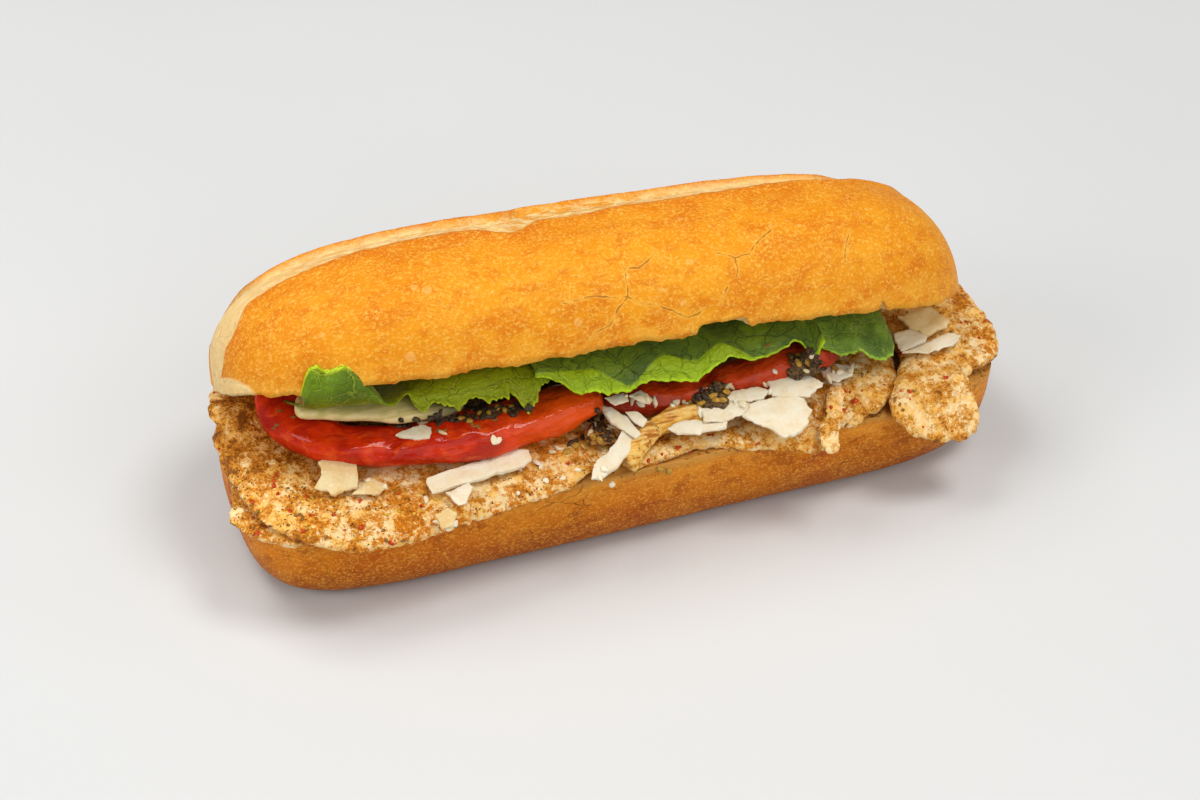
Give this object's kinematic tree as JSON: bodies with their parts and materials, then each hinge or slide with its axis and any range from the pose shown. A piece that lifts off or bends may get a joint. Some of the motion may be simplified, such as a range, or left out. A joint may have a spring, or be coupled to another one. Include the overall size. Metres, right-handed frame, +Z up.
{
  "type": "chicken sandwich",
  "caption": "Long crusty roll opened along one side and filled with sliced grilled chicken, roasted pepper, lettuce, seed relish and cheese shavings.",
  "frame": {"origin": "middle of the flat underside of the roll's lower half", "axes": "+X along the roll, to the end with the overhanging chicken lobe; -Y out of the open, filled front; +Z up"},
  "size_m": [0.243, 0.0956, 0.0933],
  "materials": {
    "crust_light": "baked golden crust, matte",
    "crust_dark": "baked darker crust, matte",
    "chicken": "seasoned grilled meat, satin",
    "pepper": "moist roasted skin, glossy",
    "lettuce": "fresh leaf, satin",
    "lettuce_rib": "pale leaf rib, satin",
    "cheese": "dry shaved cheese, matte",
    "relish": "oily seed relish, glossy"
  },
  "bodies": {
    "root": {"roll_bottom": "crust_dark", "roll_top": "crust_light", "chicken_left_lower": "chicken", "chicken_left_upper": "chicken", "chicken_middle": "chicken", "chicken_right_middle": "chicken", "chicken_right_end": "chicken", "chicken_curl": "chicken", "chicken_shred": "chicken", "pepper_left": "pepper", "pepper_right": "pepper", "relish_left": "relish", "relish_middle": "relish", "relish_right": "relish", "relish_far": "relish", "cheese_01": "cheese", "cheese_02": "cheese", "cheese_03": "cheese", "cheese_04": "cheese", "cheese_05": "cheese", "cheese_06": "cheese", "cheese_07": "cheese", "cheese_08": "cheese", "cheese_09": "cheese", "cheese_10": "cheese", "cheese_11": "cheese", "cheese_12": "cheese", "cheese_13": "cheese", "cheese_14": "cheese", "cheese_15": "cheese", "cheese_16": "cheese", "cheese_17": "cheese", "cheese_18": "cheese", "cheese_19": "cheese", "cheese_20": "cheese", "lettuce_rib": "lettuce_rib", "lettuce_left": "lettuce", "lettuce_middle": "lettuce", "lettuce_right": "lettuce"}
  },
  "joints": []
}
